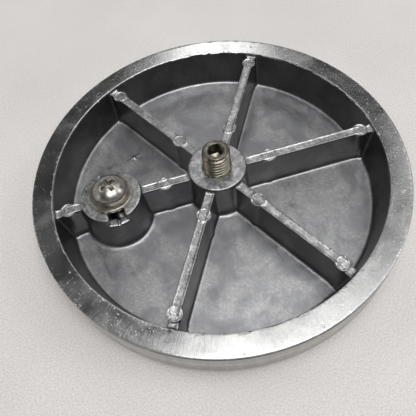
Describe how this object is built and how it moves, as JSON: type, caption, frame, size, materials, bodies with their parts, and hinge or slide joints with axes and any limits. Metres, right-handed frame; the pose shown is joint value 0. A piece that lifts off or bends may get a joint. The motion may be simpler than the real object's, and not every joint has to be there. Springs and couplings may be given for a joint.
{
  "type": "pottery wheel head",
  "caption": "Cast disc head of a small pottery wheel, ribbed underside up, with a threaded stud in its hub and a slotted boss that carries a clamp screw with washers.",
  "frame": {"origin": "centre of the flat working face, which is the lowest plane as the head lies here", "axes": "+Z is the wheel's spin axis, out of the ribbed underside; +X runs along the rib opposite the clamp boss"},
  "size_m": [0.135, 0.135, 0.0289],
  "materials": {
    "cast_metal": "as-cast pockets with a turned rim",
    "bush_steel": "turned",
    "stud_nickel": "olive-toned plated thread",
    "screw_nickel": "warm nickel plate"
  },
  "bodies": {
    "wheel": {"wheel_head": "cast_metal", "pin_bush": "bush_steel", "centre_stud": "stud_nickel"},
    "flat_washer": {"flat_washer": "screw_nickel"},
    "spring_washer": {"spring_washer": "screw_nickel"},
    "clamp_screw": {"clamp_screw": "screw_nickel"}
  },
  "joints": [
    {"name": "spring_washer_lift", "type": "slide", "parent": "wheel", "child": "spring_washer", "axis": [0, 0, 1], "range_m": [0, 0.005]},
    {"name": "flat_washer_lift", "type": "slide", "parent": "wheel", "child": "flat_washer", "axis": [0, 0, 1], "range_m": [0, 0.005]},
    {"name": "clamp_screw_turn", "type": "hinge", "parent": "spring_washer", "child": "clamp_screw", "pos_m": [-0.0385, 0, 0.0227], "axis": [0, 0, 1], "range_deg": [0, 1800]}
  ],
  "couplings": [
    {"joint": "clamp_screw_turn", "follows": "spring_washer_lift", "rad_per_m": 6283.2},
    {"joint": "flat_washer_lift", "follows": "spring_washer_lift", "ratio": 1}
  ]
}
